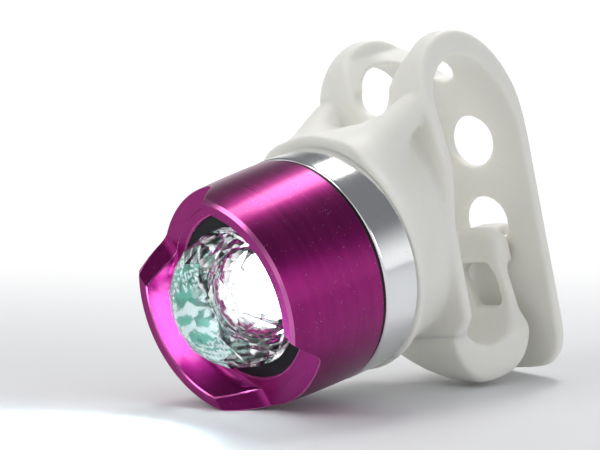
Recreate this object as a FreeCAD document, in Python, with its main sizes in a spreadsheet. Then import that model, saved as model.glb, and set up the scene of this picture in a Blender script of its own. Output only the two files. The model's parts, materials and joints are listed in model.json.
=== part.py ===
"""Small round bicycle headlight with a silicone strap loop.

Millimetres. The lamp frame has its origin on the lamp axis, at the seam
between the bezel and the O-ring: X to the lamp's side, Y backwards along the
axis (the lens looks along -Y), Z up. The loop frame stands behind the lamp,
turned a little about the lamp axis and leaned back. At the end every piece
gets one common placement that lays the lamp on its table, nose down.
"""
import FreeCAD, Part
import math
import os

import Sketcher
from FreeCAD import Placement, Rotation, Vector

doc = FreeCAD.newDocument("headlight")

# Driving dimensions, in millimetres and degrees
SIZES = {
    # bezel, turned from a bar and milled with two opposite cut-outs
    "bezel_step": 0.1,
    "bezel_taper": 0.75,
    "rim_chamfer": 0.45,
    "barrel_radius": 170.0,
    "rim_bore": 12.5,
    "bowl_radius": 12.25,
    "bowl_depth": 5.05,
    "lip_bore": 10.8,
    "lip_thickness": 1.05,
    "board_bore": 11.6,
    "thread_length": 5.0,
    "thread_relief": 0.2,
    "thread_radius": 12.6,
    "notch_floor": 6.6,
    "notch_mouth": 10.4,
    "notch_fillet": 2.3,
    "notch_blend": 0.18,
    "notch_turn": 11.0,
    # rear cup, O-ring and seal
    "cup_length": 6.25,
    "cup_radius": 15.1,
    "cup_bore": 11.0,
    "cup_floor": 1.6,
    "cup_edge": 0.35,
    "ring_section": 0.45,
    "ring_width": 1.42,
    "ring_inset": 0.28,
    "seal_flange": 0.8,
    # lens and what rides with it
    "lens_radius": 9.0,
    "lens_barrel": 1.4,
    "lens_dome": 7.5,
    "lens_flange_thickness": 1.2,
    "lens_recess": 3.2,
    "lens_facets": 14,
    "board_thickness": 1.2,
    "led_width": 3.5,
    "led_height": 0.8,
    "led_dome": 1.3,
    "switch_width": 4.2,
    "switch_height": 1.4,
    "plunger_radius": 0.95,
    "press_travel": 0.6,
    "chip_length": 4.0,
    "chip_width": 3.0,
    "chip_height": 0.75,
    "resistor_length": 1.6,
    "resistor_width": 0.8,
    "resistor_height": 0.5,
    "resistor_pitch": 2.2,
    "capacitor_length": 2.0,
    "capacitor_width": 1.25,
    "capacitor_height": 1.1,
    "chip_offset": 5.8,
    # battery
    "cell_radius": 10.0,
    "cell_height": 3.2,
    "cell_edge": 0.3,
    "holder_wall": 0.65,
    "holder_front": 1.0,
    "contact_thickness": 0.3,
    "contact_radius": 6.5,
    "contact_boss": 2.6,
    "contact_height": 0.89,
    # screw and plate that hold the silicone on the cup
    "screw_radius": 1.25,
    "screw_head": 2.4,
    "screw_length": 6.6,
    "plate_radius": 6.0,
    "plate_thickness": 1.5,
    "plate_depth": 2.6,
    # silicone moulding: collar and pedestal
    "collar_radius": 15.35,
    "collar_thickness": 1.4,
    "collar_rise": 1.25,
    "pedestal_length": 18.0,
    "waist_width": 11.2,
    "waist_height": 14.6,
    "top_width": 8.6,
    "top_height": 13.6,
    # silicone moulding: loop
    "strap_turn": 12.0,
    "strap_lean": 4.0,
    "strap_thickness": 1.6,
    "crest_thickness": 3.6,
    "plate_half_width": 10.2,
    "crest_half_width": 8.8,
    "loop_depth": 18.6,
    "crest_height": 25.3,
    "crest_front": 7.5,
    "crest_rear": 9.5,
    "crest_sweep": 45.0,
    "ridge_height": 1.8,
    "ridge_radius": 2.4,
    "ridge_spacing": 20.0,
    "ridge_offset": -1.0,
    "slot_half_width": 3.4,
    "slot_mouth": 6.0,
    "slot_foot": 19.1,
    "slot_rear_foot": 21.4,
    # silicone moulding: tail
    "tail_half_width": 9.5,
    "tail_length": 23.3,
    "tail_corner": 6.5,
    "hole_half_width": 4.05,
    "hole_half_height": 3.55,
    "hole_pitch": 10.7,
    "hole_top": 9.2,
    "hole_count": 3,
    # silicone moulding: hook
    "turn_radius": 7.5,
    "turn_height": -14.95,
    "turn_half_width": 7.4,
    "turn_fill": 2.2,
    "heel_radius": 3.8,
    "sole_left": -1.0,
    "sole_rise": 3.2,
    "sole_shoulder": 10.0,
    "tongue_half_width": 4.8,
    "tongue_top": -1.9,
    "window_half_width": 2.7,
    "window_foot": -13.0,
    "window_head": -6.6,
    "head_depth": 3.2,
    "knob_half_width": 2.7,
    "knob_height": 1.8,
    "knob_reach": 2.7,
    # how the lamp lies on the table
    "nose_down": 12.4,
    "table_roll": 19.05,
    # clearances
    "running_gap": 0.08,
    "soft_gap": 0.3,
}

sheet = doc.addObject("Spreadsheet::Sheet", "sizes")
for row, (name, value) in enumerate(SIZES.items(), 1):
    sheet.set("A%d" % row, name)
    sheet.set("B%d" % row, str(value))
    sheet.setAlias("B%d" % row, name)
doc.recompute()


class Size:
    """A length that knows its number and the formula that gives it from the sheet."""

    def __init__(self, number, formula):
        self.number = number
        self.formula = formula

    def __add__(self, other):
        other = as_size(other)
        return Size(self.number + other.number, "(%s + %s)" % (self.formula, other.formula))

    def __sub__(self, other):
        other = as_size(other)
        return Size(self.number - other.number, "(%s - %s)" % (self.formula, other.formula))

    def __mul__(self, factor):
        return Size(self.number * factor, "(%s * %s)" % (self.formula, factor))

    def __neg__(self):
        return Size(-self.number, "(-%s)" % self.formula)


def as_size(value):
    """Take a bare number as a size."""
    return value if isinstance(value, Size) else Size(float(value), "%s mm" % float(value))


def cell(name):
    """Read one driving dimension from the sheet, as a length in millimetres."""
    return Size(float(sheet.get(name)), "sizes.%s * 1 mm" % name)


def number(name):
    """Read one driving dimension from the sheet as a plain number."""
    return float(sheet.get(name))


# Stations along the lamp axis: the stack of parts, from the cup's floor forward to the rim
seam = as_size(0)
cup_back = cell("cup_length")
cup_floor = cup_back - cell("cup_floor")
cells_back = cup_floor - cell("contact_thickness")
cells_front = cells_back - cell("cell_height") * 2
contact_front = cells_front - cell("contact_height")
holder_front = contact_front - cell("holder_front")
switch_back = holder_front - cell("press_travel") - cell("running_gap")
board_back = switch_back - cell("switch_height")
flange_back = board_back - cell("board_thickness")
flange_front = flange_back - cell("lens_flange_thickness")
seal_back = flange_front - cell("running_gap")
lip_back = seal_back - cell("seal_flange")
bowl_floor = lip_back - cell("lip_thickness")
barrel_front = bowl_floor - cell("lens_barrel")
rim = bowl_floor - cell("bowl_depth")
spigot_front = seam - cell("thread_length")
thread_front = spigot_front - cell("thread_relief")

# Radii that follow from others
bezel_radius = cell("cup_radius") - cell("bezel_step")
rim_radius = bezel_radius - cell("bezel_taper")
guided = cell("board_bore") - cell("running_gap")


def origin_plane(body, role):
    """Find one of a body's own origin planes."""
    return [feature for feature in body.Origin.OriginFeatures if feature.Role == role][0]


def new_sketch(body, name, role):
    """Add a sketch on one of the body's origin planes."""
    sketch = body.newObject("Sketcher::SketchObject", name)
    sketch.AttachmentSupport = [(origin_plane(body, role), "")]
    sketch.MapMode = "FlatFace"
    return sketch


def fix_point(sketch, line, end, place):
    """Hold one end of a sketch line at a place given by two sizes."""
    for kind, size in zip(("DistanceX", "DistanceY"), place):
        index = sketch.addConstraint(Sketcher.Constraint(kind, -1, 1, line, end, size.number))
        sketch.setExpression("Constraints[%d]" % index, size.formula)


def closed_outline(sketch, corners, bulges=None):
    """Draw a closed outline through corners given as pairs of sizes.

    bulges gives a radius for each line, by its number, that is an arc bowed
    outwards on the way down the outline's right-hand side.
    """
    bulges = bulges or {}
    places = [tuple(as_size(value) for value in corner) for corner in corners]
    points = [Vector(x.number, y.number, 0) for x, y in places]
    ends = []
    for line, (start, end) in enumerate(zip(points, points[1:] + points[:1])):
        if line in bulges:
            chord = end - start
            rise = bulges[line].number - math.sqrt(bulges[line].number ** 2 - (chord.Length / 2) ** 2)
            outwards = Vector(-chord.y, chord.x, 0).normalize() * rise
            sketch.addGeometry(Part.Arc(start, (start + end) * 0.5 + outwards, end), False)
            ends.append((2, 1))
        else:
            sketch.addGeometry(Part.LineSegment(start, end), False)
            ends.append((1, 2))
    for line, place in enumerate(places):
        before = line - 1 if line else len(places) - 1
        sketch.addConstraint(Sketcher.Constraint("Coincident", before, ends[before][1], line, ends[line][0]))
        fix_point(sketch, line, ends[line][0], place)
    for line, radius in bulges.items():
        index = sketch.addConstraint(Sketcher.Constraint("Radius", line, radius.number))
        sketch.setExpression("Constraints[%d]" % index, radius.formula)


def turned(label, corners, bulges=None):
    """Turn a profile of (radius, station) corners about the lamp axis."""
    body = doc.addObject("PartDesign::Body", label)
    sketch = new_sketch(body, label + "_profile", "XY_Plane")
    closed_outline(sketch, corners, bulges)
    turn = body.newObject("PartDesign::Revolution", label + "_turn")
    turn.Profile = sketch
    turn.ReferenceAxis = (sketch, ["V_Axis"])
    turn.Angle = 360
    body.Tip = turn
    return body


def disc(label, radius, front, back):
    """A plain turned disc on the lamp axis."""
    return turned(label, [(0, front), (radius, front), (radius, back), (0, back)])


def block(label, width, station, depth, height, x=0.0, z=0.0):
    """A rectangular piece centred at (x, z), reaching back from a station by depth."""
    box = doc.addObject("Part::Box", label)
    for side, size in (("Length", width), ("Width", depth), ("Height", height)):
        box.setExpression(side, size.formula)
    box.Placement.Base = Vector(x - width.number / 2, station.number, z - height.number / 2)
    return box


def feature(label, shape):
    """A piece whose shape is worked out here."""
    piece = doc.addObject("Part::Feature", label)
    piece.Shape = shape
    return piece


def edges(*points):
    """Join points in a row: a plain point ends a line, a (through, end) pair ends an arc."""
    made = []
    start = points[0]
    for step in points[1:]:
        if isinstance(step, tuple):
            through, end = step
            made.append(Part.Arc(start, through, end).toShape())
        else:
            end = step
            made.append(Part.LineSegment(start, end).toShape())
        start = end
    return made


def swept(outline, direction):
    """A solid swept straight from a closed row of edges."""
    return Part.Face(Part.Wire(Part.__sortEdges__(outline))).extrude(direction)


def make_bezel():
    """A turned ring, milled right across with a trapezoid that leaves two opposite notches."""
    chamfer = cell("rim_chamfer")
    thread_bore = cell("thread_radius") + cell("running_gap")
    body = turned("bezel", [
        (bezel_radius, seam),
        (rim_radius, rim + chamfer),
        (rim_radius - chamfer, rim),
        (cell("rim_bore"), rim),
        (cell("bowl_radius"), bowl_floor),
        (cell("lip_bore"), bowl_floor),
        (cell("lip_bore"), lip_back),
        (cell("board_bore"), lip_back),
        (cell("board_bore"), thread_front),
        (thread_bore, thread_front),
        (thread_bore, seam),
    ], {0: cell("barrel_radius")})
    doc.recompute()
    sketch = new_sketch(body, "notch_profile", "XY_Plane")
    floor, mouth = cell("notch_floor"), cell("notch_mouth")
    ahead = rim - chamfer
    along = number("notch_blend")
    flat = floor - (mouth - floor) * (along * 1.7)
    wall = floor + (mouth - floor) * along
    wall_station = bowl_floor + (ahead - bowl_floor) * along
    fillet = cell("notch_fillet")
    closed_outline(sketch, [
        (-flat, bowl_floor), (flat, bowl_floor), (wall, wall_station),
        (mouth, ahead), (-mouth, ahead), (-wall, wall_station),
    ], {1: fillet, 5: fillet})
    notches = body.newObject("PartDesign::Pocket", "notches")
    notches.Profile = sketch
    notches.Type = "ThroughAll"
    notches.Midplane = True
    body.Tip = notches
    return body


def make_rear_cup():
    """The polished cup: a threaded spigot, a shoulder for the O-ring and a countersunk floor."""
    edge = cell("cup_edge")
    shoulder = seam + cell("ring_section")
    hole = cell("screw_radius") + cell("running_gap")
    head = cell("screw_head") + cell("running_gap")
    return turned("rear_cup", [
        (cell("cup_bore"), spigot_front),
        (cell("thread_radius") - edge, spigot_front),
        (cell("thread_radius"), spigot_front + edge),
        (cell("thread_radius"), shoulder),
        (cell("cup_radius") - edge, shoulder),
        (cell("cup_radius"), shoulder + edge),
        (cell("cup_radius"), cup_back - edge),
        (cell("cup_radius") - edge, cup_back),
        (hole, cup_back),
        (hole, cup_floor + head - hole),
        (head, cup_floor),
        (cell("cup_bore"), cup_floor),
    ])


def make_lens():
    """The lens: a flange, a short barrel, and a dome of flat triangular facets like a cut gem."""
    flange = Part.makeCylinder(guided.number, number("lens_flange_thickness"),
                               Vector(0, flange_front.number, 0), Vector(0, 1, 0))
    barrel = Part.makeCylinder(number("lens_radius"), flange_front.number - barrel_front.number,
                               Vector(0, barrel_front.number, 0), Vector(0, 1, 0))
    facets = int(number("lens_facets"))
    base_radius = number("lens_radius") - FACET_LEDGE
    rings = []
    for row, latitude in enumerate(FACET_ROWS):
        slant = math.radians(latitude)
        radius = base_radius * math.cos(slant)
        station = barrel_front.number - number("lens_dome") * math.sin(slant)
        turn = math.pi / facets * (row % 2)
        angles = [turn + 2 * math.pi * step / facets for step in range(facets)]
        rings.append([Vector(radius * math.sin(a), station, radius * math.cos(a)) for a in angles])
    faces = [flat_face(rings[0]), flat_face(rings[-1])]
    for row, (outer, inner) in enumerate(zip(rings, rings[1:])):
        ahead = row % 2
        for step in range(facets):
            after = (step + 1) % facets
            faces.append(flat_face([outer[step], outer[after], inner[(step + ahead) % facets]]))
            faces.append(flat_face([inner[step], inner[after], outer[(step + 1 - ahead) % facets]]))
    dome = Part.Solid(Part.Shell(faces))
    if dome.Volume < 0:
        dome.reverse()
    recess = Part.makeSphere(number("lens_recess"), Vector(0, flange_back.number, 0))
    return feature("lens", flange.fuse([barrel, dome]).cut(recess).removeSplitter())


def flat_face(points):
    """A flat face through a ring of points."""
    return Part.Face(Part.makePolygon(points + points[:1]))


def make_switch():
    """The switch's square case with the hole its plunger slides in."""
    width = cell("switch_width")
    case = block("switch_case", width, board_back, cell("switch_height"), width)
    bore = doc.addObject("Part::Cylinder", "switch_bore")
    bore.setExpression("Radius", (cell("plunger_radius") + cell("running_gap")).formula)
    bore.setExpression("Height", (cell("switch_height") * 3).formula)
    bore.Placement = Placement(Vector(0, board_back.number - number("switch_height"), 0), BACKWARDS)
    body = doc.addObject("Part::Cut", "switch_body")
    body.Base = case
    body.Tool = bore
    return body


def make_resistors():
    """Three chip resistors in a row, as one node."""
    width, height, length = cell("resistor_width"), cell("resistor_height"), cell("resistor_length")
    row = []
    for step in (-1, 0, 1):
        z = step * number("resistor_pitch")
        row.append(block("resistor_%d" % (step + 2), width, board_back, height, length,
                         -number("chip_offset"), z))
    group = doc.addObject("Part::Compound", "board_resistors")
    group.Links = row
    return group


def make_led():
    """The LED's square package and the clear dome on it."""
    width = cell("led_width")
    front = flange_back - cell("led_height")
    package = block("led_package", width, front, cell("led_height"), width)
    ball = Part.makeSphere(number("led_dome"), Vector(0, front.number, 0))
    keep = Part.makeBox(4 * number("led_dome"), 2 * number("led_dome"), 4 * number("led_dome"))
    keep.translate(Vector(-2, -2, -2) * number("led_dome") + Vector(0, front.number, 0))
    return package, feature("led_dome", ball.common(keep))


def band_outline():
    """The loop's side profile in its own YZ plane: front plate, crest and tail, as a solid strip."""
    thick = number("strap_thickness")
    depth = number("loop_depth")
    height = number("crest_height")
    apex = number("crest_front")
    foot = number("turn_height")
    end = -number("tail_length")
    sweep = math.radians(number("crest_sweep"))

    def crest(front_y, rear_y, top, first):
        """Points of one face of the crest, from the front plate over to the tail."""
        front_radius = apex - front_y
        corner = math.radians(45)
        rise = (Vector(0, front_y + front_radius * (1 - math.cos(corner)),
                       top - front_radius * (1 - math.sin(corner))), Vector(0, apex, top))
        half = sweep / 2
        middle = Vector(0, apex + first * math.sin(half), top - first * (1 - math.cos(half)))
        joint = Vector(0, apex + first * math.sin(sweep), top - first * (1 - math.cos(sweep)))
        second = (rear_y - joint.y) / (1 - math.sin(sweep))
        centre = joint - Vector(0, math.sin(sweep), math.cos(sweep)) * second
        late = (sweep + math.pi / 2) / 2
        through = centre + Vector(0, math.sin(late), math.cos(late)) * second
        return [Vector(0, front_y, top - front_radius), rise, (middle, joint),
                (through, Vector(0, rear_y, centre.z))]

    first = number("crest_rear")
    outer = crest(0.0, depth, height, first)
    inner = crest(thick, depth - thick, height - number("crest_thickness"),
                  first - number("crest_thickness") + thick)
    outer_edges = edges(Vector(0, 0, foot), *outer, Vector(0, depth, end), Vector(0, depth - thick, end))
    inner_edges = edges(Vector(0, thick, foot), *inner, Vector(0, depth - thick, end))
    return outer_edges + inner_edges + edges(Vector(0, thick, foot), Vector(0, 0, foot))


def slab(outline, start, end):
    """Sweep an outline in the loop's XZ plane along Y from start to end."""
    solid = swept(outline, Vector(0, end - start, 0))
    solid.translate(Vector(0, start, 0))
    return solid


def mirrored_outline(right_side):
    """Close an outline from its right-hand side, given from the bottom up as edges() steps."""
    left_side = []
    points = [right_side[0]] + [step[1] if isinstance(step, tuple) else step for step in right_side[1:]]
    for index in range(len(right_side) - 1, 0, -1):
        step = right_side[index]
        end = flipped(points[index - 1])
        left_side.append((flipped(step[0]), end) if isinstance(step, tuple) else end)
    top = points[-1]
    across = [] if abs(top.x) < 1e-9 else [flipped(top)]
    steps = right_side + across + left_side
    if abs(points[0].x) > 1e-9:
        steps = steps + [points[0]]
    return edges(*steps)


def flipped(point):
    """The same point on the loop's other side."""
    return Vector(-point.x, point.y, point.z)


def arc_middle(lowest, end, radius):
    """The middle of an arc that leaves its lowest point level and runs to another point."""
    centre = lowest + Vector(0, 0, radius)
    halfway = (lowest - centre) + (end - centre)
    return centre + halfway.normalize() * radius


def corner_arc(x, z, radius):
    """A lower right corner: where its arc starts, its middle, and where it ends."""
    centre = Vector(x - radius, 0, z + radius)
    middle = centre + Vector(DIAGONAL, 0, -DIAGONAL) * radius
    return Vector(centre.x, 0, z), (middle, Vector(x, 0, centre.z))


def slot(half_width, low, high, start, end):
    """A straight slot with round ends, cut along Y."""
    slant = half_width * DIAGONAL
    first, last = low + half_width, high - half_width
    side = [Vector(0, 0, low), (Vector(slant, 0, first - slant), Vector(half_width, 0, first)),
            Vector(half_width, 0, last), (Vector(slant, 0, last + slant), Vector(0, 0, high))]
    return slab(mirrored_outline(side), start, end)


def oval(half_width, half_height, z, start, end):
    """An oval hole, cut along Y."""
    ellipse = Part.Ellipse(Vector(0, 0, z), half_width, half_height)
    ellipse.transform(Placement(Vector(0, 0, z), Rotation(Vector(1, 0, 0), 90)).toMatrix()
                      * Placement(Vector(0, 0, -z), Rotation()).toMatrix())
    return slab([ellipse.toShape()], start, end)


def make_strap():
    """The silicone moulding in the loop frame: the part fixed to the lamp, and the tail that swings."""
    thick = number("strap_thickness")
    depth = number("loop_depth")
    apex = number("crest_front")
    plate_side = number("plate_half_width")
    crest_side = number("crest_half_width")
    height = number("crest_height")
    shoulder = height - apex
    above = height + OVERCUT
    turn_side = number("turn_half_width")
    turn_radius = number("turn_radius")
    turn_foot = number("turn_height")
    tongue_side = number("tongue_half_width")
    tongue_top = number("tongue_top")
    half_gap = number("soft_gap") / 2

    side = Vector(1, 0, 0)
    span = 2 * plate_side
    band = swept(band_outline(), side * span)
    band.translate(side * -plate_side)

    # the seat between two ridges that hold the bar off the plate
    ridge_radius = number("ridge_radius")
    ridge_centre = thick + number("ridge_height") - ridge_radius
    ridges = []
    for way in (-1, 1):
        z = number("ridge_offset") + way * number("ridge_spacing") / 2
        roll = Part.makeCylinder(ridge_radius, span, Vector(-plate_side, ridge_centre, z), side)
        behind = Part.makeBox(span, depth, 2 * depth, Vector(-plate_side, thick / 2, z - depth))
        ridges.append(roll.common(behind))

    # front part: from the crest down the plate and round the thick turn at its foot
    fill = number("turn_fill")
    bottom = turn_foot - turn_radius
    ring = Part.makeCylinder(turn_radius, span, Vector(-plate_side, turn_radius, turn_foot), side)
    hollow = Part.makeCylinder(turn_radius - thick, span,
                               Vector(-plate_side, turn_radius, turn_foot + fill), side)
    lower = Part.makeBox(span, 2 * turn_radius, turn_radius + fill, Vector(-plate_side, 0, bottom))
    turn = ring.cut(hollow).common(lower)

    # the foot leans on the table with a round heel on its right, and slopes away on its left
    heel_radius = number("heel_radius")
    heel = Vector(turn_side - heel_radius, 0, bottom)
    heel_side = Vector(turn_side, 0, bottom + heel_radius)
    heel_middle = arc_middle(heel, heel_side, heel_radius)
    sole = Vector(number("sole_left"), 0, bottom + number("sole_rise"))
    run = heel.x - sole.x
    sole_radius = (run * run + number("sole_rise") ** 2) / (2 * number("sole_rise"))
    front_room = slab(edges(
        heel, (heel_middle, heel_side),
        Vector(turn_side, 0, turn_foot),
        Vector(plate_side, 0, turn_foot + (plate_side - turn_side)),
        Vector(plate_side, 0, shoulder),
        Vector(crest_side, 0, height),
        Vector(crest_side, 0, above),
        Vector(-crest_side, 0, above),
        Vector(-crest_side, 0, height),
        Vector(-plate_side, 0, shoulder),
        Vector(-plate_side, 0, bottom + number("sole_shoulder")),
        sole, (arc_middle(heel, sole, sole_radius), heel),
    ), -OVERCUT, depth)
    front_half = Part.makeBox(span, apex - half_gap, above - turn_foot, Vector(-plate_side, 0, turn_foot))
    front = band.common(front_half).fuse(ridges + [turn]).common(front_room)

    # tongue, with its window and the thick rounded head whose knob stands in the lowest hole
    tongue_front = 2 * turn_radius - thick
    head_centre = tongue_top - tongue_side
    arc_side = tongue_side * DIAGONAL
    tongue_outline = mirrored_outline([
        Vector(turn_side, 0, turn_foot),
        Vector(tongue_side, 0, turn_foot + turn_side - tongue_side),
        Vector(tongue_side, 0, head_centre),
        (Vector(arc_side, 0, head_centre + arc_side), Vector(0, 0, tongue_top)),
    ])
    tongue = slab(tongue_outline, tongue_front, 2 * turn_radius)
    head_back = tongue_front + number("head_depth")
    head_room = Part.makeBox(2 * plate_side, depth, depth, Vector(-plate_side, 0, number("window_head")))
    head = slab(tongue_outline, tongue_front, head_back).common(head_room)
    knob_side = number("knob_half_width")
    knob_round = number("knob_height") / 2
    knob_middle = tongue_top - knob_round
    flat_side = knob_side - knob_round
    knob = slab(mirrored_outline([
        Vector(0, 0, knob_middle - knob_round), Vector(flat_side, 0, knob_middle - knob_round),
        (Vector(knob_side, 0, knob_middle), Vector(flat_side, 0, knob_middle + knob_round)),
        Vector(0, 0, knob_middle + knob_round),
    ]), head_back - thick / 2, head_back + number("knob_reach"))
    window = slot(number("window_half_width"), number("window_foot"), number("window_head"),
                  tongue_front - OVERCUT, depth)
    hook = tongue.cut(window).fuse([head, knob])

    # the long slot over the crest, narrow at its foot and wide at the top
    half_width = number("slot_half_width")
    mouth = number("slot_mouth")

    def crest_slot(foot, start, end):
        side = [Vector(0, 0, foot - half_width),
                (Vector(half_width * DIAGONAL, 0, foot - half_width * DIAGONAL),
                 Vector(half_width, 0, foot)),
                Vector(mouth, 0, height - number("crest_thickness") / 2), Vector(mouth, 0, above)]
        return slab(mirrored_outline(side), start, end)

    front = front.cut(crest_slot(number("slot_foot"), -OVERCUT, apex))

    # tail: the rear of the crest and the long end with its holes
    tail_side = number("tail_half_width")
    end = -number("tail_length")
    start, corner = corner_arc(tail_side, end, number("tail_corner"))
    tail_outline = mirrored_outline([start, corner, Vector(tail_side, 0, number("hole_top")),
                                     Vector(crest_side, 0, height), Vector(crest_side, 0, above)])
    rear_half = Part.makeBox(2 * plate_side, depth, above - end, Vector(-plate_side, apex + half_gap, end))
    tail = band.common(rear_half).common(slab(tail_outline, 0, depth + OVERCUT))
    cuts = [crest_slot(number("slot_rear_foot"), apex - OVERCUT, depth + OVERCUT)]
    for step in range(int(number("hole_count"))):
        z = number("hole_top") - step * number("hole_pitch")
        cuts.append(oval(number("hole_half_width"), number("hole_half_height"), z,
                         depth - 2 * thick, depth + OVERCUT))
    tail = tail.cut(cuts)
    return front.fuse(hook), tail


def ellipse_wire(half_width, half_height, place):
    """An upright ellipse, facing along Y, set down by a placement."""
    wire = Part.Wire(Part.Ellipse(Vector(0, 0, 0), half_height, half_width).toShape())
    wire.rotate(Vector(0, 0, 0), Vector(0, 0, 1), 90)
    wire.rotate(Vector(0, 0, 0), Vector(1, 0, 0), 90)
    wire.Placement = place.multiply(wire.Placement)
    return wire


def make_strap_base(front):
    """Collar and pedestal under the front plate, with the pocket of the anchor plate and its screw."""
    twist = Rotation(Vector(0, 1, 0), number("strap_turn"))
    collar = Part.makeCylinder(number("collar_radius"), number("collar_thickness"),
                               Vector(0, cup_back.number, 0), Vector(0, 1, 0))
    lift = number("collar_rise") / 2
    foot = Placement(twist.multVec(Vector(0, 0, lift)) + Vector(0, cup_back.number, 0), twist)
    half_way = (cup_back.number + number("pedestal_length")) / 2
    waist = Placement(Vector(0, half_way, 0), twist)
    top = loop_frame.multiply(Placement(Vector(0, number("strap_thickness") / 2, 0), Rotation()))
    sections = [
        ellipse_wire(number("collar_radius"), number("collar_radius") + lift, foot),
        ellipse_wire(number("waist_width"), number("waist_height"), waist),
        ellipse_wire(number("top_width"), number("top_height"), top),
    ]
    pedestal = Part.makeLoft(sections, True, False)
    front.Placement = loop_frame
    plate_front = cup_back.number + number("plate_depth")
    gap = number("running_gap")
    pocket = Part.makeCylinder(number("plate_radius") + gap, number("plate_thickness") + 2 * gap,
                               Vector(0, plate_front - gap, 0), Vector(0, 1, 0))
    screw_hole = Part.makeCylinder(number("screw_radius") + gap, number("screw_length"),
                                   Vector(0, cup_floor.number + 0.5, 0), Vector(0, 1, 0))
    shape = collar.fuse([pedestal, front]).cut([pocket, screw_hole])
    return feature("strap_base", shape.removeSplitter())


DIAGONAL = math.sqrt(0.5)
FACET_LEDGE = 0.05
FACET_ROWS = (0.0, 24.0, 47.0, 68.0)
OVERCUT = 1.0
FINE = 0.05
BACKWARDS = Rotation(Vector(1, 0, 0), -90)

turned_up = Rotation(Vector(0, 1, 0), number("strap_turn"))
leaned_back = Rotation(Vector(1, 0, 0), -number("strap_lean"))
loop_frame = Placement(Vector(0, number("pedestal_length"), 0), turned_up.multiply(leaned_back))

pieces = [make_bezel(), make_rear_cup()]

# O-ring in the seam, and the black seal round the lens
ring_gap = cell("running_gap") * 0.25
ring_front = seam + ring_gap
ring_back = seam + cell("ring_section") - ring_gap
ring_outside = cell("cup_radius") - cell("ring_inset")
ring_inside = ring_outside - cell("ring_width")
pieces.append(turned("o_ring", [
    (ring_inside, ring_front), (ring_outside, ring_front),
    (ring_outside, ring_back), (ring_inside, ring_back)]))
seal_inside = cell("lens_radius") + cell("running_gap")
seal_neck = cell("lip_bore") - cell("running_gap") * 0.5
seal_front = bowl_floor + cell("rim_chamfer") * 0.5
pieces.append(turned("lens_seal", [
    (seal_inside, seal_front), (seal_neck, seal_front), (seal_neck, lip_back),
    (guided, lip_back), (guided, seal_back), (seal_inside, seal_back)]))

# the lens module: everything that moves when the lens is pressed
pieces.append(make_lens())
pieces.append(disc("led_board", guided, flange_back, board_back))
pieces.extend(make_led())
pieces.append(make_switch())
pieces.append(block("control_chip", cell("chip_width"), board_back, cell("chip_height"), cell("chip_length"),
                    number("chip_offset")))
pieces.append(make_resistors())
pieces.append(block("board_capacitor", cell("capacitor_length"), board_back, cell("capacitor_height"),
                    cell("capacitor_width"), 0.0, number("chip_offset")))

# battery: a holder, two coin cells and their contacts
plunger_front = board_back + cell("press_travel") + cell("running_gap")
pieces.append(disc("switch_plunger", cell("plunger_radius"), plunger_front, holder_front))
holder_outside = cell("cup_bore") - cell("running_gap")
holder_inside = holder_outside - cell("holder_wall")
pieces.append(turned("battery_holder", [
    (0, holder_front), (holder_outside, holder_front), (holder_outside, cells_back),
    (holder_inside, cells_back), (holder_inside, contact_front), (0, contact_front)]))
contact_back = contact_front + cell("contact_thickness")
pieces.append(turned("spring_contact", [
    (0, contact_front), (cell("contact_radius"), contact_front), (cell("contact_radius"), contact_back),
    (cell("contact_boss"), contact_back), (cell("contact_boss"), cells_front), (0, cells_front)]))
for label, front in (("cell_front", cells_front), ("cell_rear", cells_front + cell("cell_height"))):
    back = front + cell("cell_height")
    edge = cell("cell_edge")
    pieces.append(turned(label, [
        (0, front), (cell("cell_radius") - edge, front), (cell("cell_radius"), front + edge),
        (cell("cell_radius"), back), (0, back)]))
contact_hole = cell("screw_head") + cell("soft_gap")
pieces.append(turned("cup_contact", [
    (contact_hole, cells_back), (cell("contact_radius"), cells_back),
    (cell("contact_radius"), cup_floor), (contact_hole, cup_floor)]))

# the screw and plate that hold the silicone on the cup
head_back = cup_floor + cell("screw_head") - cell("screw_radius")
pieces.append(turned("clamp_screw", [
    (0, cup_floor), (cell("screw_head"), cup_floor), (cell("screw_radius"), head_back),
    (cell("screw_radius"), cup_floor + cell("screw_length") - cell("soft_gap")),
    (0, cup_floor + cell("screw_length") - cell("soft_gap"))]))
plate_front = cup_back + cell("plate_depth")
plate_back = plate_front + cell("plate_thickness")
plate_hole = cell("screw_radius") + cell("running_gap") * 0.5
pieces.append(turned("anchor_plate", [
    (plate_hole, plate_front), (cell("plate_radius"), plate_front),
    (cell("plate_radius"), plate_back), (plate_hole, plate_back)]))

front, tail = make_strap()
pieces.append(make_strap_base(front))
tail.Placement = loop_frame
pieces.append(feature("strap_tail", tail))

doc.recompute()

# lay the lamp on its table: nose down, rolled, lowest point at zero and centred
bezel = pieces[0]
bezel_turn = Placement(Vector(0, 0, 0), Rotation(Vector(0, 1, 0), -number("notch_turn")))
nodding = Rotation(Vector(1, 0, 0), number("nose_down"))
rolled = Rotation(Vector(0, 1, 0), -number("table_roll"))
lying = nodding.multiply(rolled)
bezel.Placement = bezel_turn
doc.recompute()
box = FreeCAD.BoundBox()
for piece in pieces:
    for point in piece.Shape.tessellate(FINE)[0]:
        box.add(lying.multVec(point))
table_place = Placement(Vector(-box.Center.x, -box.Center.y, -box.ZMin), lying)
for piece in pieces:
    piece.Placement = table_place.multiply(piece.Placement)
doc.recompute()

# check everything before any file is written
for thing in doc.Objects:
    if "Invalid" in thing.State or "Error" in thing.State:
        raise RuntimeError("%s failed: %s" % (thing.Label, thing.State))
for piece in pieces:
    if piece.Shape.isNull() or not piece.Shape.isValid():
        raise RuntimeError("%s has no valid shape" % piece.Label)

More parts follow.
